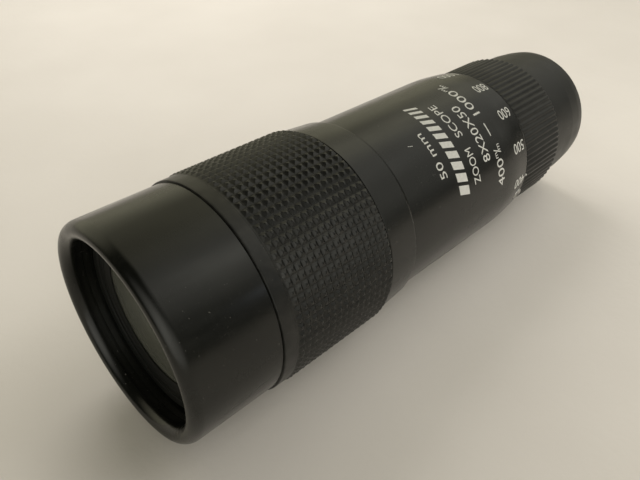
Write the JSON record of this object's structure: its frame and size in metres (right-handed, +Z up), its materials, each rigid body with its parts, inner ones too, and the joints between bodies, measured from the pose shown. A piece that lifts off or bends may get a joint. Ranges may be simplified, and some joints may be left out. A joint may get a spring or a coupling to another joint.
{
  "type": "zoom spotting scope",
  "caption": "Compact straight-through zoom spotting scope with a knurled focus grip, a ribbed zoom ring, a printed zoom scale and a rubber eyecup.",
  "frame": {"origin": "centre of the footprint on the surface it lies on: under the middle of its box, at z = 0", "axes": "+X runs along the scope from the objective to the eyepiece, +Z is up; the optical axis dips 2.3 degrees towards the eyepiece, because the scope rests on the back of its grip and the back of its body"},
  "size_m": [0.1924, 0.0636, 0.0652],
  "materials": {
    "black_anodised": "satin black anodised",
    "grip_black": "satin black, knurled or ribbed",
    "inner_black": "matte black",
    "eyecup_rubber": "smooth matte",
    "optical_glass": "polished, coated",
    "bright_steel": "bright",
    "drive_brass": "turned",
    "index_white": "paint fill"
  },
  "bodies": {
    "chassis": {"hood": "black_anodised", "front_barrel": "inner_black", "front_cone": "black_anodised", "body_tube": "black_anodised", "baffle_ring": "inner_black", "prism_cage": "inner_black", "prism_front": "optical_glass", "prism_rear": "optical_glass", "prism_strap": "bright_steel", "eyepiece_barrel": "inner_black", "guide_tube": "inner_black", "eye_cap": "inner_black", "eye_lens": "optical_glass", "eye_lens_ring": "inner_black", "eyecup": "eyecup_rubber", "shoulder_screw": "bright_steel"},
    "focus_grip": {"focus_ring": "grip_black"},
    "objective": {"objective_cell": "inner_black", "lens_crown": "optical_glass", "lens_flint": "optical_glass", "objective_retaining_ring": "inner_black", "focus_pin": "drive_brass"},
    "zoom_control": {"zoom_ring": "grip_black", "index_mark": "index_white", "drive_screw": "bright_steel", "cam_sleeve": "drive_brass"},
    "zoom_group_a": {"zoom_cell_a": "inner_black", "zoom_lens_a": "optical_glass", "zoom_pin_a": "drive_brass"},
    "zoom_group_b": {"zoom_cell_b": "inner_black", "zoom_lens_b": "optical_glass", "zoom_pin_b": "drive_brass"}
  },
  "joints": [
    {"name": "focus_turn", "type": "hinge", "parent": "chassis", "child": "focus_grip", "pos_m": [-0.09508, 0, 0.03447], "axis": [0.9992, 0, -0.0407], "range_deg": [-30, 240]},
    {"name": "objective_slide", "type": "slide", "parent": "chassis", "child": "objective", "axis": [-0.9992, 0, 0.0407], "range_m": [-0.0007, 0.0054]},
    {"name": "zoom_turn", "type": "hinge", "parent": "chassis", "child": "zoom_control", "pos_m": [-0.09508, 0, 0.03447], "axis": [-0.9992, 0, 0.0407], "range_deg": [0, 106]},
    {"name": "zoom_a_slide", "type": "slide", "parent": "chassis", "child": "zoom_group_a", "axis": [0.9992, 0, -0.0407], "range_m": [-0.0001, 0.0071]},
    {"name": "zoom_b_slide", "type": "slide", "parent": "chassis", "child": "zoom_group_b", "axis": [-0.9992, 0, 0.0407], "range_m": [-0.0001, 0.0041]}
  ],
  "couplings": [
    {"joint": "objective_slide", "follows": "focus_turn", "m_per_rad": 0.0012732},
    {"joint": "zoom_a_slide", "follows": "zoom_turn", "m_per_rad": 0.0037837},
    {"joint": "zoom_b_slide", "follows": "zoom_turn", "m_per_rad": 0.0021621}
  ]
}
